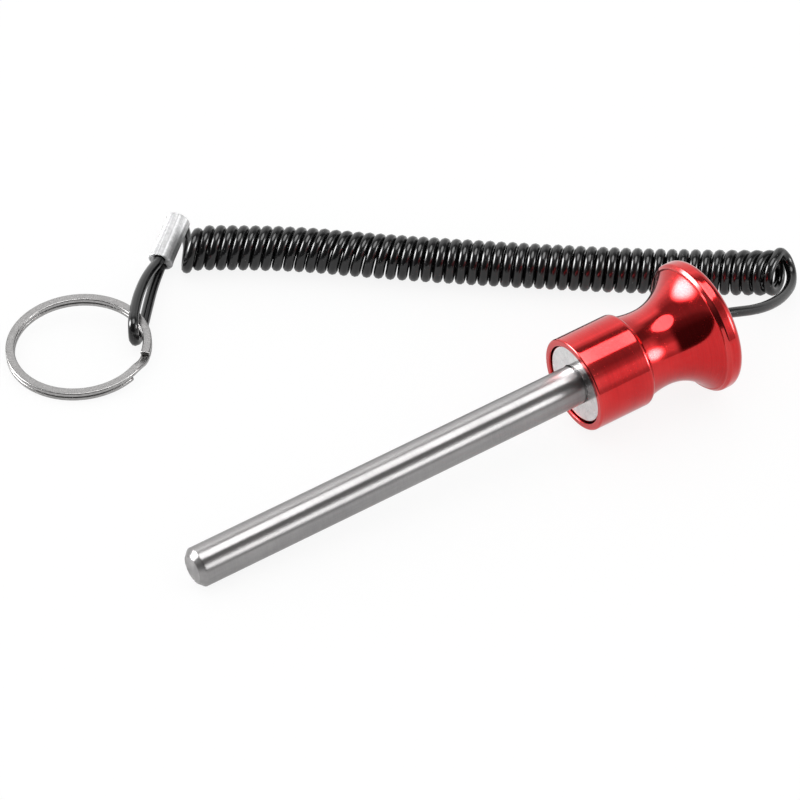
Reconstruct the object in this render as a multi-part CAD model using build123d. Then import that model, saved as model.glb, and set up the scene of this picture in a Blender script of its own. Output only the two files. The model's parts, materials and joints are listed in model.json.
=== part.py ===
from build123d import *
import math
import os

# Weight stack pin: a selector pin in a turned knob, with a coiled lanyard and a key ring.
# Millimetres, +Z up. The part lies on a level surface: the pin's tip and the rim of the
# knob's head touch it, and +X runs level along the pin from its tip to its knob.

# ---------------------------------------------------------------- selector pin
pin_radius = 5.0
pin_exposed_length = 108.0       # from the knob's front face to the tip
pin_tip_chamfer = 1.4
pin_register_radius = 4.8        # from the knob's front face, through the magnet
shank_radius = 4.0               # reduced end that screws into the knob
shank_length = 17.7
shank_end_chamfer = 0.6

# ---------------------------------------------------------------- ring magnet
magnet_radius = 10.0
magnet_height = 6.0
magnet_edge_chamfer = 0.3
magnet_recess = 0.5              # magnet face below the knob's front face
magnet_bore_clearance = 0.2      # radial, magnet on the pin's register
magnet_pocket_clearance = 0.35   # radial, glue line round the magnet

# ---------------------------------------------------------------- knob
collar_radius = 12.1
collar_length = 16.3
collar_front_round = 0.5
collar_rear_round = 1.3
neck_front_radius = 11.0         # where the neck leaves the collar
neck_waist_radius = 10.05
waist_from_collar = 6.6
waist_to_ridge = 11.5
neck_ridge_radius = 15.9         # where the flare meets the rim's ridge line
ridge_step = 0.35
ridge_land = 0.15
head_radius = 17.0
ridge_to_crest = 2.6
head_back_round = 1.9
head_back_dome = 0.9
dome_mid_share = 0.75            # of the dome's rise, reached at half its radius
shank_fit = 0.05                 # radial, thread flank clearance
cord_stop_room = 9.0             # chamber between the shank's end and the cord hole
cord_hole_clearance = 0.15
cord_hole_countersink = 0.5

# ---------------------------------------------------------------- lanyard cord
cord_radius = 1.35
coil_outer_radius = 5.85
cord_stop_radius = 3.5
cord_stop_edge = 0.4
cord_start_in_stop = 2.0         # cord end, behind the shank's end
knob_exit_run = 4.5              # corner of the cord's first bend, behind the knob

# ---------------------------------------------------------------- crimp sleeve
sleeve_radius = 3.2
sleeve_edge_round = 0.3
sleeve_cord_gap = 0.15           # between the two cords that it grips
sleeve_slit = 1.2                # width of the opening between the two cords
sleeve_mouth = Vector(-18.6, 109.4, 3.05)
sleeve_far_end = Vector(-8.4, 117.4, 7.3)
sleeve_mouth_run = 1.0           # corners of the cord beyond the sleeve's ends
sleeve_far_run = 2.1
sleeve_cord_stub = 0.5           # cut end of the cord beyond the sleeve

# ---------------------------------------------------------------- split ring
ring_outer_radius = 18.25
ring_band = 2.25                 # radial width of the flat wire
ring_wire_height = 1.1
ring_turn_gap = 0.1              # between the two turns
ring_edge_round = 0.25
ring_centre_x = -53.3
ring_centre_y = 90.25
ring_tilt = 5.8                  # degrees, raised where it lies on the cord
ring_low_azimuth = -145.0        # degrees, the side that touches the surface
ring_top_end_azimuth = -46.0     # the upper turn's free end
ring_jog_start = -66.0           # where the upper turn starts down
ring_jog_end = -48.0             # where it has become the lower turn
ring_lower_end_azimuth = 288.0   # the lower turn's free end
jog_sections = 5

os.makedirs("parts", exist_ok=True)


def revolved(outline):
    """Solid of revolution about Z from closed outline edges drawn as (radius, height)."""
    return revolve(Plane.XZ * make_face(outline), Axis.Z)


def lathe(*points):
    """Solid of revolution from the corner points of a closed straight outline."""
    return revolved(Polyline(*points, close=True))


# ================================================================ turned pieces, along local Z
# Heights are measured from the knob's front face: + into the knob, - along the exposed pin.
magnet_front = magnet_recess
magnet_seat = magnet_front + magnet_height
shank_end = magnet_seat + shank_length
stop_seat = shank_end + cord_stop_room
waist_height = collar_length + waist_from_collar
ridge_height = waist_height + waist_to_ridge
crest_height = ridge_height + ridge_land + ridge_to_crest
back_height = crest_height + head_back_round
dome_height = back_height + head_back_dome
back_radius = head_radius - head_back_round
cord_hole_radius = cord_radius + cord_hole_clearance


def make_knob():
    """Turned knob: collar, waisted neck, rounded head, and the stepped bore inside."""
    rear_round_start = collar_length - collar_rear_round
    ridge_foot = (neck_ridge_radius, ridge_height)
    ridge_top = (neck_ridge_radius + ridge_step, ridge_height + ridge_land)
    crest = (head_radius, crest_height)
    back_edge = (back_radius, back_height)
    outline = [
        Line((0, 0), (collar_radius - collar_front_round, 0)),
        TangentArc((collar_radius - collar_front_round, 0), (collar_radius, collar_front_round),
                   tangent=(1, 0)),
        Line((collar_radius, collar_front_round), (collar_radius, rear_round_start)),
        TangentArc((collar_radius, rear_round_start),
                   (neck_front_radius, collar_length), tangent=(0, 1)),
        TangentArc((neck_waist_radius, waist_height), (neck_front_radius, collar_length),
                   tangent=(0, -1)),
        TangentArc((neck_waist_radius, waist_height), ridge_foot, tangent=(0, 1)),
        Line(ridge_foot, ridge_top),
        TangentArc(crest, ridge_top, tangent=(0, -1)),
        TangentArc(crest, back_edge, tangent=(0, 1)),
        ThreePointArc(back_edge,
                      (back_radius / 2, back_height + head_back_dome * dome_mid_share),
                      (0, dome_height)),
        Line((0, dome_height), (0, 0)),
    ]
    body = revolved(outline)
    pocket_radius = magnet_radius + magnet_pocket_clearance
    bore_radius = shank_radius + shank_fit
    body -= lathe((0, 0), (pocket_radius, 0), (pocket_radius, magnet_seat), (0, magnet_seat))
    body -= lathe((0, magnet_seat), (bore_radius, magnet_seat), (bore_radius, stop_seat),
                  (0, stop_seat))
    countersink_start = dome_height - cord_hole_countersink
    body -= lathe((0, stop_seat), (cord_hole_radius, stop_seat),
                  (cord_hole_radius, countersink_start),
                  (cord_hole_radius + cord_hole_countersink, dome_height), (0, dome_height))
    return body


def make_pin():
    """Selector pin: chamfered tip, bare pin, register that seats in the pocket, and shank."""
    tip = -pin_exposed_length
    return lathe(
        (0, tip), (pin_radius - pin_tip_chamfer, tip), (pin_radius, tip + pin_tip_chamfer),
        (pin_radius, 0), (pin_register_radius, 0),
        (pin_register_radius, magnet_seat), (shank_radius, magnet_seat),
        (shank_radius, shank_end - shank_end_chamfer),
        (shank_radius - shank_end_chamfer, shank_end), (0, shank_end))


def make_magnet():
    """Ring magnet glued into the knob's front pocket, round the pin."""
    bore = pin_register_radius + magnet_bore_clearance
    cut = magnet_edge_chamfer
    return lathe((bore, magnet_front), (magnet_radius - cut, magnet_front),
                 (magnet_radius, magnet_front + cut), (magnet_radius, magnet_seat),
                 (bore, magnet_seat))


def make_cord_stop():
    """Sleeve crimped on the cord's end, held between the shank and the chamber's floor."""
    cut = cord_stop_edge
    return lathe((cord_radius, shank_end), (cord_stop_radius - cut, shank_end),
                 (cord_stop_radius, shank_end + cut), (cord_stop_radius, stop_seat - cut),
                 (cord_stop_radius - cut, stop_seat), (cord_radius, stop_seat))


# ================================================================ laying the pin down
# The tip's full-diameter edge and the rounded crest of the head touch the surface, so the
# axis rises towards the knob by the angle whose rise takes up the difference in radius.
contact_span = crest_height + pin_exposed_length - pin_tip_chamfer
crest_core_radius = head_radius - head_back_round
radius_rise = crest_core_radius - pin_radius
lie_angle = (math.atan2(radius_rise, contact_span)
             + math.asin(head_back_round / math.hypot(contact_span, radius_rise)))

turned = {
    "knob": make_knob(),
    "selector_pin": make_pin(),
    "ring_magnet": make_magnet(),
    "cord_stop": make_cord_stop(),
}
axis_direction = Vector(math.cos(lie_angle), 0, math.sin(lie_angle))
tilted = Plane(origin=(0, 0, 0), x_dir=(0, 1, 0), z_dir=axis_direction).location
lying_box = (tilted * (turned["knob"] + turned["selector_pin"])).bounding_box()
front_centre = Vector(-(lying_box.min.X + lying_box.max.X) / 2, 0, -lying_box.min.Z)
lying = Location(front_centre) * tilted


def on_axis(height):
    """Point on the pin's axis of the lying part, measured from the knob's front face."""
    return front_centre + axis_direction * height


# ================================================================ lanyard
def corner_radii(route):
    """Fillet radius at each inner point: 0.45 of the shorter run over tan(half the turn)."""
    radii = []
    for before, here, after in zip(route, route[1:], route[2:]):
        run_in = here - before
        run_out = after - here
        half_turn = math.radians(run_in.get_angle(run_out)) / 2
        radii.append(0.45 * min(run_in.length, run_out.length) / math.tan(half_turn))
    return radii


def tube(name, radius, route):
    """Round tube along straight runs joined by tangent arcs."""
    radii = corner_radii(route)
    path = FilletPolyline(*route, radius=radii)
    section = Plane(origin=route[0], z_dir=route[1] - route[0]) * Circle(radius)
    solid = sweep(section, path=path)
    expected = math.pi * radius ** 2 * path.length
    print(f"{name}: path {path.length:.1f} mm, volume / (section x path) "
          f"{solid.volume / expected:.4f}, radii {[round(r, 1) for r in radii]}")
    return solid


sleeve_axis = (sleeve_far_end - sleeve_mouth).normalized()
sleeve_up = (Vector(0, 0, 1) - sleeve_axis * sleeve_axis.Z).normalized()
cord_offset = sleeve_up * (cord_radius + sleeve_cord_gap / 2)

tail_route = [
    on_axis(shank_end + cord_start_in_stop),
    on_axis(dome_height + knob_exit_run),
    Vector(90.5, 1.6, 12.4),
    Vector(101.0, 6.6, 7.8),
    Vector(108.9, 12.4, 4.8),
    Vector(113.0, 16.8, 4.4),
    Vector(113.7, 20.2, 7.2),
    Vector(111.4, 20.6, 10.2),
    Vector(108.4, 18.8, 10.2),
]
coil_route = [
    Vector(109.4, 17.7, coil_outer_radius),
    Vector(83.8, 34.4, coil_outer_radius),
    Vector(56.8, 54.9, coil_outer_radius),
    Vector(28.8, 77.2, coil_outer_radius),
    Vector(7.3, 96.2, coil_outer_radius),
    Vector(-11.7, 107.6, coil_outer_radius),
]
loop_route = [
    Vector(-11.0, 107.4, 3.0),
    Vector(-8.8, 111.9, 2.4),
    Vector(-6.8, 116.3, 1.5),
    Vector(-4.9, 119.2, 3.4),
    sleeve_far_end - cord_offset + sleeve_axis * sleeve_far_run,
    sleeve_mouth - cord_offset - sleeve_axis * sleeve_mouth_run,
    Vector(-24.6, 103.1, 1.4),
    Vector(-30.6, 95.7, 1.4),
    Vector(-35.9, 89.0, 1.4),
    Vector(-40.6, 84.7, 1.9),
    Vector(-40.9, 84.4, 8.0),
    Vector(-37.9, 89.2, 7.8),
    Vector(-32.3, 96.4, 7.3),
    Vector(-25.8, 103.2, 6.2),
    sleeve_mouth + cord_offset - sleeve_axis * sleeve_mouth_run,
    sleeve_far_end + cord_offset + sleeve_axis * sleeve_cord_stub,
]


def make_sleeve():
    """Round sleeve with a figure-eight bore that grips both legs of the cord's loop."""
    length = (sleeve_far_end - sleeve_mouth).length
    offset = cord_radius + sleeve_cord_gap / 2
    barrel = Cylinder(sleeve_radius, length, align=(Align.CENTER, Align.CENTER, Align.MIN))
    barrel = fillet(barrel.edges(), sleeve_edge_round)
    bores = Rectangle(2 * offset, sleeve_slit) + [
        Pos(side * offset, 0) * Circle(cord_radius) for side in (-1, 1)]
    barrel -= extrude(bores, length)
    return Plane(origin=sleeve_mouth, x_dir=sleeve_up, z_dir=sleeve_axis).location * barrel


# ================================================================ split ring
def ring_section(azimuth, height):
    """Rounded flat-wire section standing across the ring at an azimuth, in degrees."""
    turn = math.radians(azimuth)
    radial = Vector(math.cos(turn), math.sin(turn), 0)
    middle = radial * (ring_outer_radius - ring_band / 2) + Vector(0, 0, height)
    across = Plane(origin=middle, x_dir=radial, z_dir=Vector(0, 0, 1).cross(radial))
    return across * RectangleRounded(ring_band, ring_wire_height, ring_edge_round)


def make_split_ring():
    """Two turns of flat wire in one strip, with the jog where it drops a layer."""
    layer = (ring_wire_height + ring_turn_gap) / 2
    upper_turn = revolve(ring_section(ring_jog_start, layer), Axis.Z,
                         -(360 + ring_jog_start - ring_top_end_azimuth))
    lower_turn = revolve(ring_section(ring_jog_end, -layer), Axis.Z,
                         ring_lower_end_azimuth - ring_jog_end)
    stations = [i / (jog_sections - 1) for i in range(jog_sections)]
    jog = loft([ring_section(ring_jog_start + share * (ring_jog_end - ring_jog_start),
                             layer * math.cos(math.pi * share)) for share in stations])
    return upper_turn + jog + lower_turn


ring_half_height = ring_wire_height + ring_turn_gap / 2
ring_tilt_turn = math.radians(ring_tilt)
ring_low_turn = math.radians(ring_low_azimuth)
ring_normal = Vector(math.sin(ring_tilt_turn) * math.cos(ring_low_turn),
                     math.sin(ring_tilt_turn) * math.sin(ring_low_turn),
                     math.cos(ring_tilt_turn))
ring_centre_z = (ring_outer_radius * math.sin(ring_tilt_turn)
                 + ring_half_height * math.cos(ring_tilt_turn))
ring_x_direction = Vector(0, 1, 0).cross(ring_normal)
ring_plane = Plane(origin=(ring_centre_x, ring_centre_y, ring_centre_z),
                   x_dir=ring_x_direction, z_dir=ring_normal)

# ================================================================ all pieces, in place
nodes = {name: lying * solid for name, solid in turned.items()}
nodes["cord_tail"] = tube("cord_tail", cord_radius, tail_route)
nodes["cord_coil"] = tube("cord_coil", coil_outer_radius, coil_route)
nodes["cord_loop"] = tube("cord_loop", cord_radius, loop_route)
nodes["crimp_sleeve"] = make_sleeve()
nodes["split_ring"] = ring_plane.location * make_split_ring()

for name, solid in nodes.items():
    export_step(solid, f"parts/{name}.step")
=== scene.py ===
"""Weight stack pin dressed for the render: turned red knob, ground steel pin, ring magnet,
coiled black lanyard, crimped sleeve and split ring, on a plain pale floor.

Lengths are metres, +Z is up, and +X runs along the lying pin from its tip to its knob.
"""

import json
import logging
import math
from dataclasses import dataclass, replace
from enum import Enum
from functools import partial, reduce

import bpy
import numpy as np
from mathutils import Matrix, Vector


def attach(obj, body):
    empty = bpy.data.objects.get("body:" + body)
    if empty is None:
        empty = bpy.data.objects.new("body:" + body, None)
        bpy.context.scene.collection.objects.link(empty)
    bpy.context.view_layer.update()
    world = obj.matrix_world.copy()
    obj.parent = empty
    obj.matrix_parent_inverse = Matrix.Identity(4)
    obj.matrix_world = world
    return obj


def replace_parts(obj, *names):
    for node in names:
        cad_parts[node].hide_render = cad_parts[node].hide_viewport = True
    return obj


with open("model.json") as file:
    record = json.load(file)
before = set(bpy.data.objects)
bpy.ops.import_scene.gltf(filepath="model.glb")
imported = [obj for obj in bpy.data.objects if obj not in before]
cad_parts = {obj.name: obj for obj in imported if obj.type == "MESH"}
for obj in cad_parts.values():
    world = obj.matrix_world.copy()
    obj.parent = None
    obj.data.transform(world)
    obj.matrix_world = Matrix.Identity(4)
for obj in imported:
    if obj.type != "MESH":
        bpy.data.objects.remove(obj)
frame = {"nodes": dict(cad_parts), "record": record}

Pair = tuple[float, float]
Triple = tuple[float, float, float]
Colour = tuple[float, float, float, float]
Levels = tuple[Pair, ...]
Tree = bpy.types.NodeTree
Socket = bpy.types.NodeSocket
Piece = bpy.types.Object
Material = bpy.types.Material

LOG = logging.getLogger("weight_stack_pin")
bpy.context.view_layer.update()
ROOT_BODY = "pin_and_lanyard"
RING_BODY = "key_ring"
PATTERN = "pattern"
EDGE = "edge"
CENTIMETRES = 100.0
WHITE = (1.0, 1.0, 1.0, 1.0)
NEAR_AXIS = 1e-5
SIDEWAYS = np.array([0.0, 1.0, 0.0])
UP = np.array([0.0, 0.0, 1.0])


# profiles
def bend(start: Pair, end: Pair, leaving: Pair, steps: int) -> np.ndarray:
    """Circular arc of a profile that leaves its start along a given direction.

    The centre lies on the normal at the start, at distance |d|^2 / (2 d.n), where d joins the
    ends and n is that normal; the points turn about it in equal steps.

    Args:
        start: First (radius, height).
        end: Last (radius, height).
        leaving: Direction of the arc at its start.
        steps: Number of equal steps.

    Returns:
        Points as a (steps + 1, 2) array.
    """
    first, last = np.array(start, float), np.array(end, float)
    along = np.array(leaving, float) / np.linalg.norm(leaving)
    normal = np.array([-along[1], along[0]])
    chord = last - first
    signed_radius = chord @ chord / (2 * chord @ normal)
    centre = first + normal * signed_radius
    begin = math.atan2(*(first - centre)[::-1])
    turn = math.atan2(*(last - centre)[::-1]) - begin
    turn = turn % (2 * math.pi) if signed_radius > 0 else -(-turn % (2 * math.pi))
    angles = begin + np.linspace(0, 1, steps + 1) * turn
    return centre + abs(signed_radius) * np.stack([np.cos(angles), np.sin(angles)], 1)


class Outline:
    """Profile drawn run by run, in (radius, height) or (across, up).

    Attributes:
        points: The points so far, an (n, 2) array.
    """

    def __init__(self, start: Pair) -> None:
        """Starts the outline at a point."""
        self.points = np.array([start], float)

    def add(self, run: np.ndarray) -> "Outline":
        """Adds a run of points that begins at the last one."""
        self.points = np.concatenate([self.points, run[1:]])
        return self

    def line(self, *corners: Pair, inset: float = 4e-5, step: float = 0.004) -> "Outline":
        """Adds straight runs, with a point just inside each end to keep their shading flat.

        Args:
            *corners: Where each run ends.
            inset: Distance of the inner points from the ends.
            step: Longest step between them, about.

        Returns:
            The same outline.
        """
        for corner in corners:
            first, last = self.points[-1], np.array(corner, float)
            length = np.linalg.norm(last - first)
            share = min(inset / length, 0.25)
            inner = np.linspace(share, 1 - share, max(2, int(length / step) + 2))
            self.add(first + np.concatenate(([0.0], inner, [1.0]))[:, None] * (last - first))
        return self

    def arc(self, end: Pair, leaving: Pair, steps: int) -> "Outline":
        """Adds an arc that leaves the last point along a direction."""
        return self.add(bend(self.points[-1], end, leaving, steps))

    def arc_from(self, end: Pair, leaving: Pair, steps: int) -> "Outline":
        """Adds an arc given from its end back, where it leaves that end along a direction."""
        return self.add(bend(end, self.points[-1], leaving, steps)[::-1])

    def ease(self, corner: Pair, end: Pair, steps: int) -> "Outline":
        """Adds a curve that heads for a corner and turns: (1-t)^2 a + 2 t (1-t) b + t^2 c."""
        t = np.linspace(0, 1, steps + 1)[:, None]
        return self.add((1 - t) ** 2 * self.points[-1] + 2 * t * (1 - t) * np.array(corner) + t ** 2 * np.array(end))


def ease_in(share: np.ndarray) -> np.ndarray:
    """Smooth rise from 0 to 1 as the share goes from 0 to 1: 3 s^2 - 2 s^3."""
    held = np.clip(share, 0, 1)
    return held ** 2 * (3 - 2 * held)


def arc_lengths(points: np.ndarray) -> np.ndarray:
    """Distance of each point from the first, measured along the polyline."""
    return np.concatenate(([0.0], np.cumsum(np.linalg.norm(np.diff(points, axis=0), axis=1))))


def convexity(profile: np.ndarray, spread: float = 2.5e-4) -> np.ndarray:
    """How much a profile turns round its outer edges, from 0 to 1.

    The turn at each point is shared out over its neighbours with a bell curve of the given
    width, and full strength stands for a turn of a quarter circle within that width.

    Args:
        profile: Points as an (n, 2) array, with the material on the left.
        spread: Width of the bell curve.

    Returns:
        One value per point.
    """
    ahead = np.diff(profile, axis=0)
    heading = np.unwrap(np.arctan2(ahead[:, 1], ahead[:, 0]))
    turn = np.zeros(len(profile))
    turn[1:-1] = np.diff(heading)
    place = arc_lengths(profile)
    weights = np.exp(-(((place[:, None] - place[None, :]) / spread) ** 2))
    return np.clip(weights @ np.maximum(turn, 0) / (math.pi / 2), 0, 1)


# surfaces
def put(name: str, data: bpy.types.ID) -> Piece:
    """Places new data in the scene as an object.

    Args:
        name: Name of the object.
        data: Its mesh, curve or camera.

    Returns:
        The object.
    """
    made = bpy.data.objects.new(name, data)
    bpy.context.scene.collection.objects.link(made)
    return made


@dataclass
class Skin:
    """Surface on a grid: rows are sections, and columns go once round each section.

    Attributes:
        points: Places as a (rows, columns, 3) array.
        pattern: Coordinates that the finish follows, of the same shape.
        edge: Edge strength as a (rows, columns) array.
        ring: True where the last row joins the first; otherwise both ends close in a point.
    """

    points: np.ndarray
    pattern: np.ndarray
    edge: np.ndarray
    ring: bool

    def mesh(self, name: str) -> Piece:
        """Makes the closed, smooth mesh object, with its faces outward.

        The faces turn round where the volume is negative: it is the sum of a.(b x c + c x d)
        over the quads, with corners a to d counted from one place of the surface.

        Args:
            name: Name of the object and its mesh.

        Returns:
            The new object, in the scene.
        """
        rows, columns = self.points.shape[:2]
        grid = np.arange(rows * columns).reshape(rows, columns)
        below, above = (grid, np.roll(grid, -1, 0)) if self.ring else (grid[:-1], grid[1:])
        quads = np.stack([below, np.roll(below, -1, 1), np.roll(above, -1, 1), above], -1).reshape(-1, 4)
        places, patterns, edges = self.points.reshape(-1, 3), self.pattern.reshape(-1, 3), self.edge.ravel()
        a, b, c, d = (places[quads[:, k]] - places[0] for k in range(4))
        outward = (a * (np.cross(b, c) + np.cross(c, d))).sum() >= 0
        triangles = np.zeros((0, 3), int)
        if not self.ring:
            hub = rows * columns
            first, last = grid[0], grid[-1]
            triangles = np.concatenate([
                np.stack([np.full(columns, hub), np.roll(first, -1), first], 1),
                np.stack([np.full(columns, hub + 1), last, np.roll(last, -1)], 1)])
            places, patterns, edges = (
                np.concatenate([values, whole[[0, -1]].mean(1)]) for values, whole in (
                    (places, self.points), (patterns, self.pattern), (edges, self.edge)))
        if not outward:
            quads, triangles = quads[:, ::-1], triangles[:, ::-1]
        mesh = bpy.data.meshes.new(name)
        mesh.from_pydata(places.tolist(), [], quads.tolist() + triangles.tolist())
        mesh.polygons.foreach_set("use_smooth", np.ones(len(mesh.polygons), bool))
        for label, kind, field, values in ((PATTERN, "FLOAT_VECTOR", "vector", patterns),
                                           (EDGE, "FLOAT", "value", edges)):
            stored = mesh.attributes.new(label, kind, "POINT").data
            stored.foreach_set(field, values.astype(np.float32).ravel())
        mesh.update()
        return put(name, mesh)


@dataclass(frozen=True)
class PinAxis:
    """Axis of the lying pin, with heights counted from the knob's front face.

    Attributes:
        front: Centre of the knob's front face.
        rise: Angle of the axis above the floor, in radians.
    """

    front: Triple = (0.0338364, 0.0, 0.0138658)
    rise: float = math.radians(4.7745)

    def along(self) -> np.ndarray:
        """Unit vector from the tip to the knob."""
        return np.array([math.cos(self.rise), 0.0, math.sin(self.rise)])

    def upward(self) -> np.ndarray:
        """Unit vector square to the axis, in the upright plane."""
        return np.array([-math.sin(self.rise), 0.0, math.cos(self.rise)])

    def at(self, height: float) -> np.ndarray:
        """Point of the axis at a height."""
        return np.array(self.front) + self.along() * height

    def lifted(self, height: float) -> "PinAxis":
        """The same axis, moved square to itself."""
        return replace(self, front=tuple(np.array(self.front) + self.upward() * height))

    def turned(self, name: str, profile: np.ndarray, columns: int, ring: bool) -> Piece:
        """Turns a profile about the axis.

        Each point is front + height * along + radius * (cos t * sideways + sin t * upward).
        The pattern coordinates are (cos t, sin t, length along the profile in centimetres).

        Args:
            name: Name of the piece.
            profile: (radius, height) points, an (n, 2) array.
            columns: Points round the axis.
            ring: True for a profile that closes on itself.

        Returns:
            The turned piece.
        """
        turns = np.linspace(0, 2 * math.pi, columns, endpoint=False) - math.pi / 2
        spokes = np.cos(turns)[:, None] * SIDEWAYS + np.sin(turns)[:, None] * self.upward()
        points = (np.array(self.front) + profile[:, 1, None, None] * self.along()
                  + profile[:, 0, None, None] * spokes[None])
        travel = arc_lengths(profile) * CENTIMETRES
        pattern = np.stack(np.broadcast_arrays(np.cos(turns)[None], np.sin(turns)[None], travel[:, None]), -1)
        edge = np.broadcast_to(convexity(profile)[:, None], points.shape[:2])
        return Skin(points, pattern, edge, ring).mesh(name)


# shader parts
class Lay(Enum):
    """Which way the fine lines of a finish run, as a scale of the pattern coordinates."""

    ROUND = (1.0, 1.0, 60.0)
    ALONG = (26.0, 26.0, 0.6)
    BAND = (2.0, 26.0, 26.0)


def connect(tree: Tree, target: Socket, value: object) -> None:
    """Feeds an input from another socket, or sets its own value.

    Args:
        tree: Node tree.
        target: The input.
        value: Output socket or constant.
    """
    if isinstance(value, Socket):
        tree.links.new(value, target)
    else:
        target.default_value = value


def add_node(tree: Tree, kind: str, inputs: dict[int | str, object] | None = None,
             **settings: object) -> bpy.types.Node:
    """Adds a node, sets its options, and gives its inputs a value or a link.

    Args:
        tree: Node tree.
        kind: Node type.
        inputs: Input name or index to a value, or to the output socket that feeds it.
        **settings: Properties of the node itself.

    Returns:
        The new node.
    """
    node = tree.nodes.new(kind)
    for option, value in settings.items():
        setattr(node, option, value)
    for key, value in (inputs or {}).items():
        connect(tree, node.inputs[key], value)
    return node


def math_node(tree: Tree, operation: str, *values: object) -> Socket:
    """Result of a math node on numbers or sockets."""
    return add_node(tree, "ShaderNodeMath", dict(enumerate(values)), operation=operation).outputs[0]


def fade(tree: Tree, start: object, end: object, share: object) -> Socket:
    """Number on the way from one to another: (end - start) * share + start."""
    return math_node(tree, "MULTIPLY_ADD", math_node(tree, "SUBTRACT", end, start), share, start)


def smooth_range(tree: Tree, value: object, low: float, high: float) -> Socket:
    """Smooth step from 0 at the low value to 1 at the high one."""
    return add_node(tree, "ShaderNodeMapRange", {0: value, 1: low, 2: high},
                    interpolation_type="SMOOTHSTEP").outputs[0]


def noise(tree: Tree, vector: Socket, scale: object, detail: float, roughness: float = 0.5,
          distortion: float = 0.0) -> Socket:
    """Value of a noise texture.

    Args:
        tree: Node tree.
        vector: Coordinates.
        scale: Number or socket.
        detail: Number of finer layers.
        roughness: Weight of the finer layers.
        distortion: Amount of swirl.

    Returns:
        The value, about 0 to 1.
    """
    return add_node(tree, "ShaderNodeTexNoise", {"Vector": vector, "Scale": scale, "Detail": detail,
                    "Roughness": roughness, "Distortion": distortion}).outputs[0]


def seen_rays(tree: Tree) -> tuple[Socket, Socket]:
    """Masks of the camera's own rays, and of those that polished or clear things send on."""
    rays = add_node(tree, "ShaderNodeLightPath").outputs
    return rays["Is Camera Ray"], math_node(tree, "MAXIMUM", rays["Is Glossy Ray"], rays["Is Transmission Ray"])


def new_group(name: str, inputs: dict[str, float | Triple | None], *outputs: str) -> Tree:
    """Empty shader node group with its sockets.

    Args:
        name: Name of the group.
        inputs: Socket name to its default: a number, a vector, or None for a vector without one.
        *outputs: Names of the results, which are all numbers.

    Returns:
        The group, holding only its input and output nodes.
    """
    group = bpy.data.node_groups.new(name, "ShaderNodeTree")
    for label, value in inputs.items():
        kind = "NodeSocketFloat" if isinstance(value, float) else "NodeSocketVector"
        socket = group.interface.new_socket(label, in_out="INPUT", socket_type=kind)
        if value is not None:
            socket.default_value = value
    for label in outputs:
        group.interface.new_socket(label, in_out="OUTPUT", socket_type="NodeSocketFloat")
    group.nodes.new("NodeGroupInput").name = "in"
    group.nodes.new("NodeGroupOutput").name = "out"
    return group


def give(group: Tree, **results: Socket) -> Tree:
    """Links results to a group's outputs.

    Args:
        group: The group.
        **results: Name of each output and what it gives.

    Returns:
        The same group.
    """
    for name, socket in results.items():
        group.links.new(socket, group.nodes["out"].inputs[name])
    return group


class SharedEffects:
    """The node groups that several finishes use, each built once."""

    def __init__(self) -> None:
        """Builds the groups."""
        self.fine_lines = self._fine_lines()
        self.specks = self._specks()
        self.cloudiness = self._cloudiness()

    @staticmethod
    def _fine_lines() -> Tree:
        """Fine tool or drawing lines: two noises on stretched coordinates, averaged.

        Returns:
            Group with outputs Lines (0 to 1) and Streaks (slower, 0 to 1).
        """
        tree = new_group("FineLines", {"Vector": None, "Stretch": (1.0, 1.0, 60.0), "Density": 4.0},
                         "Lines", "Streaks")
        given = tree.nodes["in"].outputs
        stretched = add_node(tree, "ShaderNodeVectorMath", {0: given["Vector"], 1: given["Stretch"]},
                             operation="MULTIPLY").outputs[0]
        fine = noise(tree, stretched, given["Density"], 4.0, 0.65)
        slow = noise(tree, stretched, math_node(tree, "MULTIPLY", given["Density"], 0.17), 2.0)
        both = math_node(tree, "MULTIPLY_ADD", fine, 0.7, math_node(tree, "MULTIPLY", slow, 0.3))
        return give(tree, Lines=smooth_range(tree, both, 0.3, 0.7), Streaks=smooth_range(tree, slow, 0.32, 0.68))

    @staticmethod
    def _specks() -> Tree:
        """Tiny scattered marks: the inner part of random cells, kept where a noise is high.

        Returns:
            Group with the output Mask (0 to 1).
        """
        tree = new_group("Specks", {"Vector": None, "Scale": 900.0, "Size": 0.22, "Amount": 0.5}, "Mask")
        given, calc = tree.nodes["in"].outputs, partial(math_node, tree)
        cells = add_node(tree, "ShaderNodeTexVoronoi", {"Vector": given["Vector"], "Scale": given["Scale"],
                         "Randomness": 1.0})
        inner = calc("LESS_THAN", cells.outputs["Distance"], given["Size"])
        chosen = noise(tree, given["Vector"], calc("MULTIPLY", given["Scale"], 0.3), 1.0)
        kept = calc("GREATER_THAN", chosen, calc("SUBTRACT", 1.0, given["Amount"]))
        return give(tree, Mask=calc("MULTIPLY", inner, kept))

    @staticmethod
    def _cloudiness() -> Tree:
        """Soft uneven patches, as handling leaves: one slow noise, remapped.

        Returns:
            Group with the output Patches (0 to 1).
        """
        tree = new_group("Cloudiness", {"Vector": None, "Scale": 90.0}, "Patches")
        given = tree.nodes["in"].outputs
        slow = noise(tree, given["Vector"], given["Scale"], 3.0, 0.55, 0.4)
        return give(tree, Patches=smooth_range(tree, slow, 0.3, 0.7))


class Mark(Enum):
    """Pattern that a finish varies by."""

    LINES = "fine lines"
    STREAKS = "slower streaks among the lines"
    DRAWN = "second set of lines"
    CLOUDS = "soft patches"
    SPECKS = "tiny scattered marks"
    EDGE = "outer edges"


Weights = tuple[tuple[Mark, float], ...]
Relief = tuple[Mark, float, float]
Layer = tuple[Mark, float, Colour]
Ruling = tuple[Lay, float]
Colours = tuple[Colour, Colour]
Values = tuple[tuple[str, float], ...]


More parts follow.
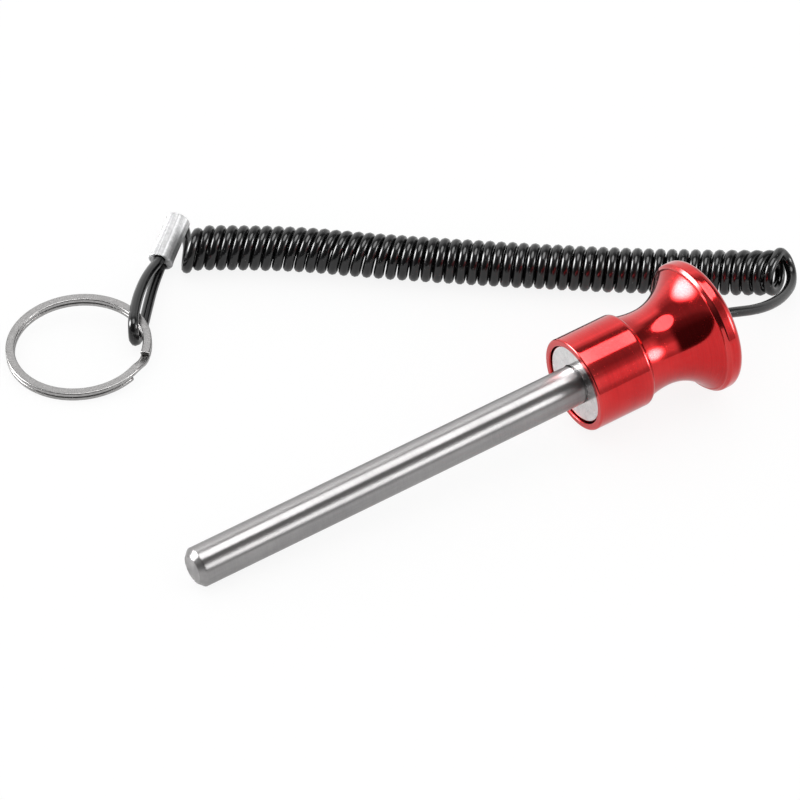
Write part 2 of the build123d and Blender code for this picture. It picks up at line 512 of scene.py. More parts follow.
@dataclass(frozen=True)
class Finish:
    """Surface whose colour and roughness vary by weighted patterns.

    Attributes:
        name: Name of the material.
        colours: Colours at tone 0 and at tone 1.
        tone: Weights of the patterns in the tone.
        roughness: Roughness that the patterns add to.
        uneven: Weights of the patterns in the roughness.
        relief: Pattern that raises the surface, its strength and its height.
        clouds: Scale of the soft patches.
        lines: Lay and density of the fine lines.
        drawn: Lay and density of a second set of lines.
        specks: Scale, size and amount of the tiny marks.
        edges: True where the outer edges count as a pattern.
        layer: Pattern that a last colour follows, its strength and that colour.
        tangent: Direction along which the lines spread the light.
        shader: Constant values of the shader, by name.
    """

    name: str
    colours: Colours
    tone: Weights
    roughness: float
    uneven: Weights
    relief: Relief
    clouds: float
    lines: Ruling | None = None
    drawn: Ruling | None = None
    specks: Triple | None = None
    edges: bool = False
    layer: Layer | None = None
    tangent: Triple | None = None
    shader: Values = (("Metallic", 1.0),)

    def marks(self, tree: Tree, effects: SharedEffects) -> dict[Mark, Socket]:
        """Makes the patterns that this finish has.

        Args:
            tree: The material's node tree.
            effects: The shared node groups.

        Returns:
            A socket from 0 to 1 for each pattern.
        """
        place = add_node(tree, "ShaderNodeTexCoord").outputs["Object"]

        def stored(name: str, output: str) -> Socket:
            """Value or vector stored on the mesh."""
            return add_node(tree, "ShaderNodeAttribute", attribute_name=name).outputs[output]

        def group(effect: Tree, *values: object) -> tuple[Socket, ...]:
            """Results of a shared group, given its inputs in their order."""
            return tuple(add_node(tree, "ShaderNodeGroup", dict(enumerate(values)), node_tree=effect).outputs)

        made = {Mark.CLOUDS: group(effects.cloudiness, place, self.clouds)[0]}
        for first, ruling in ((Mark.LINES, self.lines), (Mark.DRAWN, self.drawn)):
            if ruling:
                lay, density = ruling
                made[first], streaks = group(effects.fine_lines, stored(PATTERN, "Vector"), lay.value, density)
                made.setdefault(Mark.STREAKS, streaks)
        if self.specks:
            made[Mark.SPECKS] = group(effects.specks, place, *self.specks)[0]
        if self.edges:
            made[Mark.EDGE] = stored(EDGE, "Fac")
        return made

    def build(self, effects: SharedEffects) -> Material:
        """Makes the material.

        Args:
            effects: The shared node groups.

        Returns:
            The material.
        """
        material = bpy.data.materials.new(self.name)
        material.use_nodes = True
        tree = material.node_tree
        marks = self.marks(tree, effects)

        def total(base: float, weights: Weights) -> Socket:
            """Sum of a base number and the weighted patterns."""
            return reduce(lambda so_far, term: math_node(tree, "MULTIPLY_ADD", marks[term[0]], term[1], so_far),
                          weights, base)

        def mix(share: Socket, first: object, second: object) -> Socket:
            """Colour between two colours or sockets, by the share of the second."""
            return add_node(tree, "ShaderNodeMix", {0: share, 6: first, 7: second}, data_type="RGBA").outputs[2]

        colour = mix(total(0.0, self.tone), *self.colours)
        if self.layer:
            mark, strength, last = self.layer
            colour = mix(math_node(tree, "MULTIPLY", marks[mark], strength), colour, last)
        mark, strength, height = self.relief
        raised = add_node(tree, "ShaderNodeBump", {"Height": marks[mark], "Strength": strength, "Distance": height})
        values = {"Base Color": colour, "Roughness": total(self.roughness, self.uneven),
                  "Normal": raised.outputs[0], **dict(self.shader)}
        if self.tangent:
            values["Tangent"] = add_node(tree, "ShaderNodeCombineXYZ", dict(enumerate(self.tangent))).outputs[0]
        for name, value in values.items():
            connect(tree, tree.nodes["Principled BSDF"].inputs[name], value)
        return material


@dataclass(frozen=True)
class AnodisedRed(Finish):
    """Polished aluminium under a clear red anodised film, with a painted highlight of paler red on its outer edges.
    """

    name: str = "anodised_red"
    colours: Colours = ((0.55, 0.010, 0.0125, 1.0), (0.68, 0.020, 0.021, 1.0))
    tone: Weights = ((Mark.CLOUDS, 0.55), (Mark.STREAKS, 0.45))
    roughness: float = 0.09
    uneven: Weights = ((Mark.LINES, 0.035), (Mark.CLOUDS, 0.03), (Mark.SPECKS, 0.2))
    relief: Relief = (Mark.LINES, 0.25, 2e-6)
    clouds: float = 120.0
    lines: Ruling = (Lay.ROUND, 5.0)
    specks: Triple = (1500.0, 0.16, 0.46)
    edges: bool = True
    # painted highlight: the outer edges of the turned profile are coloured paler red
    layer: Layer = (Mark.EDGE, 0.45, (0.88, 0.16, 0.15, 1.0))
    shader: Values = (
        ("Metallic", 1.0), ("Coat Weight", 0.45), ("Coat Roughness", 0.05), ("Coat IOR", 1.5))


@dataclass(frozen=True)
class GroundSteel(Finish):
    """Stainless bar, centreless ground to a satin finish that spreads the light along the pin."""

    name: str = "ground_steel"
    colours: Colours = ((0.385, 0.375, 0.375, 1.0), (0.275, 0.269, 0.271, 1.0))
    tone: Weights = ((Mark.LINES, 0.4), (Mark.DRAWN, 0.35), (Mark.CLOUDS, 0.25))
    roughness: float = 0.27
    uneven: Weights = ((Mark.LINES, 0.06), (Mark.CLOUDS, 0.05), (Mark.EDGE, 0.08))
    relief: Relief = (Mark.LINES, 0.35, 2e-6)
    clouds: float = 70.0
    lines: Ruling = (Lay.ROUND, 3.0)
    drawn: Ruling = (Lay.ALONG, 0.8)
    edges: bool = True
    tangent: Triple = tuple(PinAxis().along())
    shader: Values = (("Metallic", 1.0), ("Anisotropic", 0.92))


@dataclass(frozen=True)
class PlatedMagnet(Finish):
    """Dull nickel plating on a sintered ring, with its fine grain."""

    name: str = "plated_magnet"
    colours: Colours = ((0.78, 0.775, 0.775, 1.0), (0.62, 0.62, 0.625, 1.0))
    tone: Weights = ((Mark.CLOUDS, 0.5), (Mark.SPECKS, 0.6))
    roughness: float = 0.15
    uneven: Weights = ((Mark.CLOUDS, 0.08), (Mark.SPECKS, 0.15))
    relief: Relief = (Mark.CLOUDS, 0.4, 3e-6)
    clouds: float = 600.0
    specks: Triple = (2600.0, 0.3, 0.5)


@dataclass(frozen=True)
class BlackCord(Finish):
    """Glossy black plastic jacket with soft patches and grey lint."""

    name: str = "black_cord"
    colours: Colours = ((0.0025, 0.0025, 0.0028, 1.0), (0.006, 0.006, 0.0065, 1.0))
    tone: Weights = ((Mark.CLOUDS, 1.0),)
    roughness: float = 0.145
    uneven: Weights = ((Mark.CLOUDS, 0.06), (Mark.SPECKS, 0.3))
    relief: Relief = (Mark.CLOUDS, 0.3, 1.2e-5)
    clouds: float = 420.0
    specks: Triple = (1300.0, 0.13, 0.44)
    layer: Layer = (Mark.SPECKS, 1.0, (0.10, 0.10, 0.10, 1.0))
    shader: Values = (("Metallic", 0.0), ("IOR", 1.52))


@dataclass(frozen=True)
class DrawnAluminium(Finish):
    """Bright soft aluminium tube with drawing streaks along it."""

    name: str = "drawn_aluminium"
    colours: Colours = ((0.86, 0.86, 0.865, 1.0), (0.20, 0.20, 0.205, 1.0))
    tone: Weights = ((Mark.LINES, 0.85), (Mark.CLOUDS, 0.15))
    roughness: float = 0.56
    uneven: Weights = ((Mark.LINES, 0.12), (Mark.CLOUDS, 0.1))
    relief: Relief = (Mark.LINES, 0.5, 1.2e-5)
    clouds: float = 1500.0
    lines: Ruling = (Lay.ALONG, 0.16)
    shader: Values = (("Metallic", 0.85),)


@dataclass(frozen=True)
class NickelRing(Finish):
    """Flat spring wire, nickel plated, with rolling lines round the ring, and painted shade darkening its corners
    and cut ends.
    """

    name: str = "nickel_ring"
    colours: Colours = ((0.50, 0.49, 0.487, 1.0), (0.345, 0.34, 0.337, 1.0))
    tone: Weights = ((Mark.LINES, 0.5), (Mark.CLOUDS, 0.5))
    roughness: float = 0.22
    uneven: Weights = ((Mark.CLOUDS, 0.10), (Mark.LINES, 0.06))
    relief: Relief = (Mark.CLOUDS, 0.2, 2e-6)
    clouds: float = 1100.0
    lines: Ruling = (Lay.BAND, 1.4)
    edges: bool = True
    # painted shade: near black on the wire's corners, for the dark groove between the turns
    layer: Layer = (Mark.EDGE, 0.8, (0.12, 0.118, 0.115, 1.0))


def dress(piece: Piece, material: Material, body: str) -> Piece:
    """Gives a piece its material and the body it moves with.

    Args:
        piece: The object.
        material: Its material.
        body: Body of the record.

    Returns:
        The same object.
    """
    piece.data.materials.clear()
    piece.data.materials.append(material)
    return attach(piece, body)


# turned pieces
@dataclass(frozen=True)
class Magnet:
    """Ring magnet in the knob's front pocket."""

    axis: PinAxis = PinAxis()
    radius: float = 0.010
    bore: float = 0.0050
    front: float = 0.0005
    height: float = 0.006
    edge: float = 0.0003
    off_centre: float = 0.00012
    columns: int = 144

    def profile(self) -> np.ndarray:
        """Closed profile: front face, rounded edge, wall, back and bore.

        Returns:
            (radius, height) points, without a repeat of the first.
        """
        back, shoulder = self.front + self.height, self.front + self.edge
        lip = self.edge / 3
        outline = Outline((self.bore + lip, self.front)).line((self.radius - self.edge, self.front))
        outline.arc((self.radius, shoulder), (1, 0), 6)
        outline.line((self.radius, back), (self.bore, back), (self.bore, self.front + lip))
        return outline.arc((self.bore + lip, self.front), (0, -1), 3).points[:-1]

    def make(self, finish: Material) -> Piece:
        """Builds and dresses the magnet."""
        piece = self.axis.lifted(self.off_centre).turned("magnet_ring", self.profile(), self.columns, True)
        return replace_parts(dress(piece, finish, ROOT_BODY), "ring_magnet")


@dataclass(frozen=True)
class SelectorPin:
    """Bare pin with a chamfered tip, its register in the magnet and its shank in the knob."""

    axis: PinAxis = PinAxis()
    radius: float = 0.005
    length: float = 0.108
    tip_chamfer: float = 0.0014
    tip_blend: float = 0.00022
    shoulder: float = 6e-5
    shoulder_inset: float = 1e-5
    register_radius: float = 0.0048
    seat: float = 0.0065
    shank_radius: float = 0.004
    shank_end: float = 0.0242
    shank_chamfer: float = 0.0006
    columns: int = 160

    def profile(self) -> np.ndarray:
        """Open profile from the tip's centre to the shank's end, with blended edges at the tip.

        Returns:
            (radius, height) points.
        """
        tip, cut, blend = -self.length, self.tip_chamfer, self.tip_blend
        slant = blend / math.sqrt(2)
        flat = self.radius - cut
        outline = Outline((NEAR_AXIS, tip)).line((flat - blend, tip))
        outline.arc((flat + slant, tip + slant), (1, 0), 5)
        outline.line((self.radius - slant, tip + cut - slant))
        outline.arc((self.radius, tip + cut + blend), (1, 1), 5).line((self.radius, -self.shoulder))
        outline.arc((self.radius - self.shoulder, 0), (0, 1), 3)
        outline.line((self.register_radius, 0), inset=self.shoulder_inset)
        return outline.line(
            (self.register_radius, self.seat), (self.shank_radius, self.seat),
            (self.shank_radius, self.shank_end - self.shank_chamfer),
            (self.shank_radius - self.shank_chamfer, self.shank_end), (NEAR_AXIS, self.shank_end)).points

    def make(self, finish: Material) -> Piece:
        """Builds and dresses the pin."""
        piece = self.axis.turned("steel_pin", self.profile(), self.columns, False)
        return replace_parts(dress(piece, finish, ROOT_BODY), "selector_pin")


@dataclass(frozen=True)
class Knob:
    """Turned knob: collar with the magnet's pocket, waisted neck, flared head and cord hole."""

    axis: PinAxis = PinAxis()
    collar_radius: float = 0.0121
    collar_length: float = 0.0163
    front_round: float = 0.0005
    rear_round: float = 0.0013
    neck_front: float = 0.011
    waist_radius: float = 0.01005
    waist: float = 0.0229
    ridge: float = 0.0344
    ridge_radius: float = 0.0159
    ridge_step: float = 0.0003
    ridge_rise: float = 0.0001
    ridge_land: float = 0.00012
    head_lean: float = math.radians(46)
    head_rise: float = 0.00085
    head_turn: float = 0.0361
    crest: float = 0.03715
    head_radius: float = 0.017
    back_round: float = 0.0019
    dome: float = 0.0009
    pocket_radius: float = 0.01035
    pocket_depth: float = 0.0065
    pocket_lip: float = 0.0002
    bore_radius: float = 0.00405
    chamber_end: float = 0.033
    hole_radius: float = 0.0015
    countersink: float = 0.0005
    columns: int = 224

    def profile(self) -> np.ndarray:
        """Closed profile, from the pocket's lip over the outside and back through the bore.

        Returns:
            (radius, height) points, without a repeat of the first.
        """
        start = (self.pocket_radius + self.pocket_lip, 0)
        rear = self.collar_length - self.rear_round
        ridge_top = (self.ridge_radius + self.ridge_step, self.ridge + self.ridge_rise)
        land_end = (ridge_top[0] + 0.25 * self.ridge_land, ridge_top[1] + self.ridge_land)
        face_end = (land_end[0] + self.head_rise * math.sin(self.head_lean),
                    land_end[1] + self.head_rise * math.cos(self.head_lean))
        head_corner = (self.head_radius, face_end[1] + (self.head_radius - face_end[0]) / math.tan(self.head_lean))
        back = self.crest + self.back_round
        summit = back + self.dome

        outline = Outline(start).line((self.collar_radius - self.front_round, 0))
        outline.arc((self.collar_radius, self.front_round), (1, 0), 8).line((self.collar_radius, rear))
        outline.arc((self.neck_front, self.collar_length), (0, 1), 12)
        outline.arc_from((self.waist_radius, self.waist), (0, -1), 26)
        outline.arc((self.ridge_radius, self.ridge), (0, 1), 46)
        outline.line(ridge_top, inset=2e-5).line(land_end).line(face_end, inset=3e-5)
        outline.ease(head_corner, (self.head_radius, self.head_turn), 14).line((self.head_radius, self.crest))
        outline.arc((self.head_radius - self.back_round, back), (0, 1), 14)
        outline.arc_from((self.hole_radius + self.countersink, summit), (1, 0), 14)
        outline.line(
            (self.hole_radius, summit - self.countersink), (self.hole_radius, self.chamber_end),
            (self.bore_radius, self.chamber_end), (self.bore_radius, self.pocket_depth),
            (self.pocket_radius, self.pocket_depth), (self.pocket_radius, self.pocket_lip))
        return outline.arc(start, (0, -1), 3).points[:-1]

    def make(self, finish: Material) -> Piece:
        """Builds and dresses the knob."""
        piece = self.axis.turned("red_knob", self.profile(), self.columns, True)
        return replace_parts(dress(piece, finish, ROOT_BODY), "knob")


# crimp sleeve
@dataclass(frozen=True)
class CrimpSleeve:
    """Soft aluminium sleeve pressed over both legs of the cord's loop."""

    mouth: Triple = (-0.0186, 0.1094, 0.00305)
    far_end: Triple = (-0.0084, 0.1174, 0.0073)
    radius: float = 0.0032
    cord_radius: float = 0.00135
    cord_gap: float = 0.00015
    slit: float = 0.0012
    lip: float = 0.0003
    thinnest: float = 2.5e-4
    flute_depth: float = 0.00009
    flutes: int = 8
    flute_phase: float = 0.6
    flute_fade: float = 0.002
    mouth_flare: float = 0.00018
    flare_reach: float = 0.0009
    mouth_spread: float = 0.00012
    spread_reach: float = 0.0007
    wall_rows: int = 26
    lip_rows: int = 8
    lip_closest: float = 0.004
    columns: int = 128

    def frame(self) -> tuple[np.ndarray, np.ndarray, np.ndarray, float]:
        """Axis of the sleeve and the directions square to it.

        Returns:
            Axis, upward and sideways unit vectors, and the length.
        """
        span = np.array(self.far_end) - np.array(self.mouth)
        length = float(np.linalg.norm(span))
        axis = span / length
        upward = UP - axis * axis[2]
        upward /= np.linalg.norm(upward)
        return axis, upward, np.cross(axis, upward), length

    def off_axis(self) -> float:
        """Distance of each cord's middle from the sleeve's axis."""
        return self.cord_radius + self.cord_gap / 2

    def bore(self, turns: np.ndarray) -> np.ndarray:
        """Distance from the axis to the bore's wall, at each angle from upward.

        The bore is two cord circles, c off the axis, joined by a slit: a ray leaves a circle at
        c |cos t| + sqrt(r^2 - c^2 sin^2 t), leaves the slit at half its width over |sin t|, and
        the wall is the farther of the two.

        Args:
            turns: Angles in radians.

        Returns:
            Radii of the same shape.
        """
        off = self.off_axis()
        sine, cosine = np.abs(np.sin(turns)), np.abs(np.cos(turns))
        reach = self.cord_radius ** 2 - (off * sine) ** 2
        circle = np.where(reach > 0, off * cosine + np.sqrt(np.maximum(reach, 0)), 0)
        slit = self.slit / 2 / np.maximum(sine, 1e-6)
        return np.maximum(circle, np.minimum(slit, off))

    def make(self, finish: Material) -> Piece:
        """Builds and dresses the sleeve.

        Rows run along the outside, over the far lip, back through the bore and over the mouth.
        A row's radius is the outer radius less shallow flutes, depth (1 - cos n t) / 2, or the
        bore's, and the outside spreads sideways at the mouth. Across a lip the radius passes
        between the two, while the height falls off at both edges with the sixth power of the
        distance from the wall's middle.

        Args:
            finish: Material of the sleeve.

        Returns:
            The dressed sleeve.
        """
        axis, upward, sideways, length = self.frame()
        turns = np.linspace(0, 2 * math.pi, self.columns, endpoint=False)
        half = np.geomspace(self.lip_closest, 0.5, self.lip_rows)
        across = np.concatenate(([0.0], half, 1 - half[-2::-1], [1.0]))
        fall = self.lip * np.abs(2 * across - 1) ** 6
        run = np.linspace(self.lip, length - self.lip, self.wall_rows)[1:-1]
        heights = np.concatenate([run, length - fall, run[::-1], fall[::-1]])[:, None]
        share = np.concatenate([np.zeros(len(run)), across, np.ones(len(run)), across[::-1]])[:, None]
        fluted = self.flute_depth * np.clip(np.minimum(heights, length - heights) / self.flute_fade, 0, 1)
        spread = self.mouth_spread * np.exp(-(heights / self.spread_reach) ** 2)
        outer = (self.radius - fluted * (1 - np.cos(self.flutes * turns + self.flute_phase)) / 2
                 + spread * np.sin(turns) ** 2)
        flare = self.mouth_flare * np.exp(-heights / self.flare_reach)
        inner = np.minimum(self.bore(turns) + flare, self.radius - self.thinnest)
        radii = outer * (1 - share) + inner * share
        spokes = np.cos(turns)[:, None] * upward + np.sin(turns)[:, None] * sideways
        points = np.array(self.mouth) + heights[..., None] * axis + radii[..., None] * spokes
        pattern = np.stack(np.broadcast_arrays(np.cos(turns), np.sin(turns), heights * CENTIMETRES), -1)
        edge = np.broadcast_to(4 * share * (1 - share), radii.shape)
        piece = Skin(points, pattern, edge, True).mesh("pressed_sleeve")
        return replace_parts(dress(piece, finish, ROOT_BODY), "crimp_sleeve")


# split ring
@dataclass(frozen=True)
class SplitRing:
    """Two turns of flat spring wire in one strip, lying tilted on the cord's loop.

    Attributes:
        step: Angle between stations, in degrees; the ends and the jog have closer ones.
        end_step: Angle of the sheared ends, in degrees.
    """

    centre: Triple
    normal: Triple
    outer_radius: float = 0.01825
    band: float = 0.00225
    wire: float = 0.0011
    gap: float = 0.0001
    corner: float = 0.0003
    shaded_edge_reach: float = 2.2e-4
    top_end: float = -406.0
    jog_start: float = -66.0
    jog_end: float = -48.0
    lower_end: float = 288.0
    step: float = 2.5
    jog_stations: int = 19
    end_step: float = 0.2
    end_bevel: float = 0.9

    def section(self) -> tuple[np.ndarray, np.ndarray]:
        """Rounded rectangle of the wire.

        Returns:
            (across, up) points, and the edge strength of each, which the ring's finish darkens as painted shade.
        """
        width, height, r = self.band / 2, self.wire / 2, self.corner
        quarter = Outline((width, 0)).line((width, height - r)).arc((width - r, height), (0, 1), 5).line((0, height))
        outline = Outline((width, 0)).add(quarter.points)
        for run in (quarter.points * (-1, 1))[::-1], quarter.points * (-1, -1), (quarter.points * (1, -1))[::-1]:
            outline.add(run)
        points = outline.points[:-1]
        off_corner = np.hypot(*(np.abs(points) - (width, height)).T)
        # strength near each corner, which the finish paints as shade
        return points, np.exp(-(off_corner / self.shaded_edge_reach) ** 2)

    def stations(self) -> np.ndarray:
        """Angles of the sections along the strip, in degrees."""
        return np.concatenate([
            [self.top_end, self.top_end + self.end_step], np.arange(self.top_end + 1, self.jog_start, self.step),
            np.linspace(self.jog_start, self.jog_end, self.jog_stations),
            np.arange(self.jog_end + self.step, self.lower_end - 1, self.step),
            [self.lower_end - self.end_step, self.lower_end]])

    def make(self, finish: Material) -> Piece:
        """Builds and dresses the ring.

        A station at angle t stands the section at the middle radius on the spoke
        (cos t, sin t). Its height is half the pitch of the turns, times cos(pi s) while the
        strip drops a layer, where s is the share of the jog passed, and the opposite after it.
        The first and last stations are drawn in a little, as a sheared end is.

        Args:
            finish: Material of the ring.

        Returns:
            The dressed ring.
        """
        normal = np.array(self.normal) / np.linalg.norm(self.normal)
        across = np.cross(SIDEWAYS, normal)
        across /= np.linalg.norm(across)
        onward = np.cross(normal, across)
        degrees = self.stations()
        passed = np.clip((degrees - self.jog_start) / (self.jog_end - self.jog_start), 0, 1)
        lift = (self.wire + self.gap) / 2 * np.cos(math.pi * passed)
        outline, strength = self.section()
        drawn = np.ones((len(degrees), 1))
        drawn[[0, -1]] = self.end_bevel
        turns = np.radians(degrees)[:, None]
        spokes = np.cos(turns) * across + np.sin(turns) * onward
        radii = self.outer_radius - self.band / 2 + drawn * outline[:, 0]
        rises = lift[:, None] + drawn * outline[:, 1]
        points = np.array(self.centre) + radii[..., None] * spokes[:, None] + rises[..., None] * normal
        pattern = np.stack(np.broadcast_arrays(turns * self.outer_radius, *outline.T), -1) * CENTIMETRES
        edge = np.broadcast_to(strength, radii.shape).copy()
        # painted shade: the cut ends are darkened in full
        edge[[0, -1]] = 1.0
        piece = Skin(points, pattern, edge, False).mesh("key_split_ring")
        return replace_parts(dress(piece, finish, RING_BODY), "split_ring")


# lanyard
@dataclass(frozen=True)
class Lanyard:
    """One black cord: out of the knob, through the close coil, and round the ring.

    Attributes:
        pace_wave: Share, and quick and slow rates a turn, of the small waves in the coil's pace.
        radius_wave: The same for its radius.
        far_from: Turns after which the coil stands askew and faster at its far end.
        far_span: Turns over which that comes on.
        down_stops: Places of the lower leg in the sleeve: True counts from its far end, False
            from its mouth, with the distance along its axis.
        up_stops: The same for the upper leg.
    """

    axis: PinAxis
    sleeve: CrimpSleeve
    diameter: float = 0.0027
    length: float = 1.65
    starts_at: float = 0.026
    leaves_at: float = 0.03995
    first_bend_at: float = 0.04445
    coil_radius: float = 0.0045
    coil_height: float = 0.00585
    coil_begins: float = 0.0001
    coil_ends: float = 0.1508
    turns: float = 51.611
    loose_turns: float = 7.0
    loosening: float = 0.12
    far_pace: float = 0.0145
    pace_wave: Triple = (0.03, 5.1, 0.37)
    radius_wave: Triple = (0.006, 2.3, 0.61)
    near_slant: Pair = (0.0024, 0.0012)
    near_reach: float = 4.0
    far_slant: Pair = (0.0006, -0.0006)
    far_from: float = 28.0
    far_span: float = 28.0 / 3
    last_turn_front: float = 0.0011
    last_turn_from: float = 1.3
    last_turn_span: float = 0.6
    points_per_turn: int = 16
    samples_per_span: int = 60
    coil_line: Levels = (
        (0.1094, 0.0177), (0.0838, 0.0344), (0.0568, 0.0549), (0.0288, 0.0772), (0.0073, 0.0962), (-0.0117, 0.1076))
    tail_line: tuple[Triple, ...] = (
        (0.0905, 0.0016, 0.0124), (0.1010, 0.0066, 0.0078), (0.1089, 0.0124, 0.0048),
        (0.1128, 0.0169, 0.0044), (0.1135, 0.0203, 0.0072), (0.1113, 0.0207, 0.0102))
    link_line: tuple[Triple, ...] = (
        (-0.0088, 0.1119, 0.0024), (-0.0068, 0.1163, 0.0015), (-0.0058, 0.1194, 0.0030))
    loop_line: tuple[Triple, ...] = (
        (-0.0246, 0.1031, 0.0014), (-0.0306, 0.0957, 0.0014), (-0.0359, 0.0890, 0.0014),
        (-0.0406, 0.0847, 0.0019), (-0.0409, 0.0844, 0.0080), (-0.0379, 0.0892, 0.0078),
        (-0.0323, 0.0964, 0.0073), (-0.0258, 0.1032, 0.0062))
    down_stops: tuple[tuple[bool, float], ...] = ((True, 0.0016), (True, -0.0027), (False, 0.0015), (False, -0.0010))
    up_stops: tuple[tuple[bool, float], ...] = ((False, -0.0010), (False, 0.0015), (True, 0.0005))

    def coil_axis(self, travel: np.ndarray) -> tuple[np.ndarray, np.ndarray]:
        """Points and directions of the coil's own axis.

        The axis is the quadratic B-spline of the coil's line, sampled and read by arc length.

        Args:
            travel: Distances from the knob's end of the coil.

        Returns:
            Points and unit directions, each an (n, 3) array.
        """
        corners = np.array([(x, y, self.coil_height) for x, y in self.coil_line])
        middles = (corners[1:-2] + corners[2:-1]) / 2
        begins = np.concatenate([corners[:1], middles])
        ends = np.concatenate([middles, corners[-1:]])
        t = np.linspace(0, 1, self.samples_per_span)[None, :, None]
        spans = (1 - t) ** 2 * begins[:, None] + 2 * t * (1 - t) * corners[1:-1][:, None] + t ** 2 * ends[:, None]
        line = np.concatenate([spans[0], *spans[1:, 1:]])
        place = arc_lengths(line)
        slopes = np.gradient(line, place, axis=0)
        points, ahead = (np.stack([np.interp(travel, place, values[:, k]) for k in range(3)], 1)
                         for values in (line, slopes))
        return points, ahead / np.linalg.norm(ahead, axis=1)[:, None]

    def coil(self) -> np.ndarray:
        """Control points of the close coil, from its top at the knob's end.

        A point at angle t is axis(s) + r (cos t * front + sin t * up), with t falling from a
        quarter turn, s growing with the turns passed and a little faster in the loose ones, and
        small slow waves in r and s. The turns stand askew near both ends, so a point also moves
        a cos t + b sin t along the axis; the last turn hangs to the front. A quadratic B-spline
        through n points a turn runs at 3/4 + cos(2 pi / n) / 4 of their radius, so the radius is
        divided by that.

        Returns:
            Control points as an (n, 3) array.
        """
        passed = np.arange(int(self.turns * self.points_per_turn) + 1) / self.points_per_turn
        far = ease_in((passed - self.far_from) / self.far_span)
        depth, quick, slow = self.pace_wave
        pace = (1 + self.loosening * np.exp(-passed / self.loose_turns) + self.far_pace * far
                + depth * np.sin(passed * quick) * np.sin(passed * slow + 1))
        walked = np.concatenate(([0.0], np.cumsum((pace[1:] + pace[:-1]) / 2)))
        travel = self.coil_begins + walked / walked[-1] * (self.coil_ends - self.coil_begins)
        centre, ahead = self.coil_axis(travel)
        front = np.stack([-ahead[:, 1], ahead[:, 0], np.zeros(len(passed))], 1)
        angle = math.pi / 2 - 2 * math.pi * passed
        shrink = 0.75 + 0.25 * math.cos(2 * math.pi / self.points_per_turn)
        depth, quick, slow = self.radius_wave
        radius = self.coil_radius / shrink * (1 - depth * (1 - np.sin(passed * quick) * np.sin(passed * slow)))
        near = np.exp(-(passed / self.near_reach) ** 2)
        askew = sum((near * self.near_slant[k] + far * self.far_slant[k]) * wave
                    for k, wave in enumerate((np.cos(angle), np.sin(angle))))
        hang = ease_in((passed - self.turns + self.last_turn_from) / self.last_turn_span)
        forward = radius * np.cos(angle) + self.last_turn_front * hang
        return (centre + askew[:, None] * ahead + forward[:, None] * front
                + (radius * np.sin(angle))[:, None] * UP)

    def route(self) -> np.ndarray:
        """Control points of the whole cord, from its end inside the knob to its cut end.

        Returns:
            Control points as an (n, 3) array.
        """
        axis, upward, _, _ = self.sleeve.frame()
        ends = np.array([self.sleeve.mouth, self.sleeve.far_end])
        inside = [self.axis.at(height) for height in (self.starts_at, self.leaves_at, self.first_bend_at)]
        down, up = ([ends[int(far)] + side * self.sleeve.off_axis() * upward + axis * on for far, on in stops]
                    for side, stops in ((-1, self.down_stops), (1, self.up_stops)))
        return np.concatenate([inside, self.tail_line, self.coil(), self.link_line, down, self.loop_line, up])

    def make(self, finish: Material, far_pieces: list[Piece]) -> Piece:
        """Args:
            finish: Material of the cord.
            far_pieces: The pieces on its far end; not used.

        Returns:
            The cord, a smooth curve with a round section.
        """
        points = self.route()
        line = bpy.data.curves.new("lanyard_cord", "CURVE")
        line.dimensions = "3D"
        line.bevel_depth = self.diameter / 2
        line.bevel_resolution = 3
        line.use_fill_caps = True
        spline = line.splines.new("NURBS")
        spline.points.add(len(points) - 1)
        spline.points.foreach_set("co", np.concatenate([points, np.ones((len(points), 1))], 1).ravel())
        spline.order_u = 3
        spline.use_endpoint_u = True
        spline.resolution_u = line.resolution_u = line.render_resolution_u = 4
        cord = dress(put("lanyard_cord", line), finish, ROOT_BODY)
        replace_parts(cord, "cord_tail", "cord_coil", "cord_loop")
        return (cord, tuple(self.axis.at(self.leaves_at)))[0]


# studio
@dataclass(frozen=True)
class SoftLight:
    """Round soft lamp in the room's light, as seen in polished metal.

    Attributes:
        around: Angle round the pin's axis, from behind over the top, in degrees.
        along: Angle towards the knob, in degrees.
        core: Angular radius at full strength, in degrees.
        rim: Angular radius where it has faded out, in degrees.
        strength: Brightness.
    """

    around: float
    along: float
    core: float
    rim: float
    strength: float


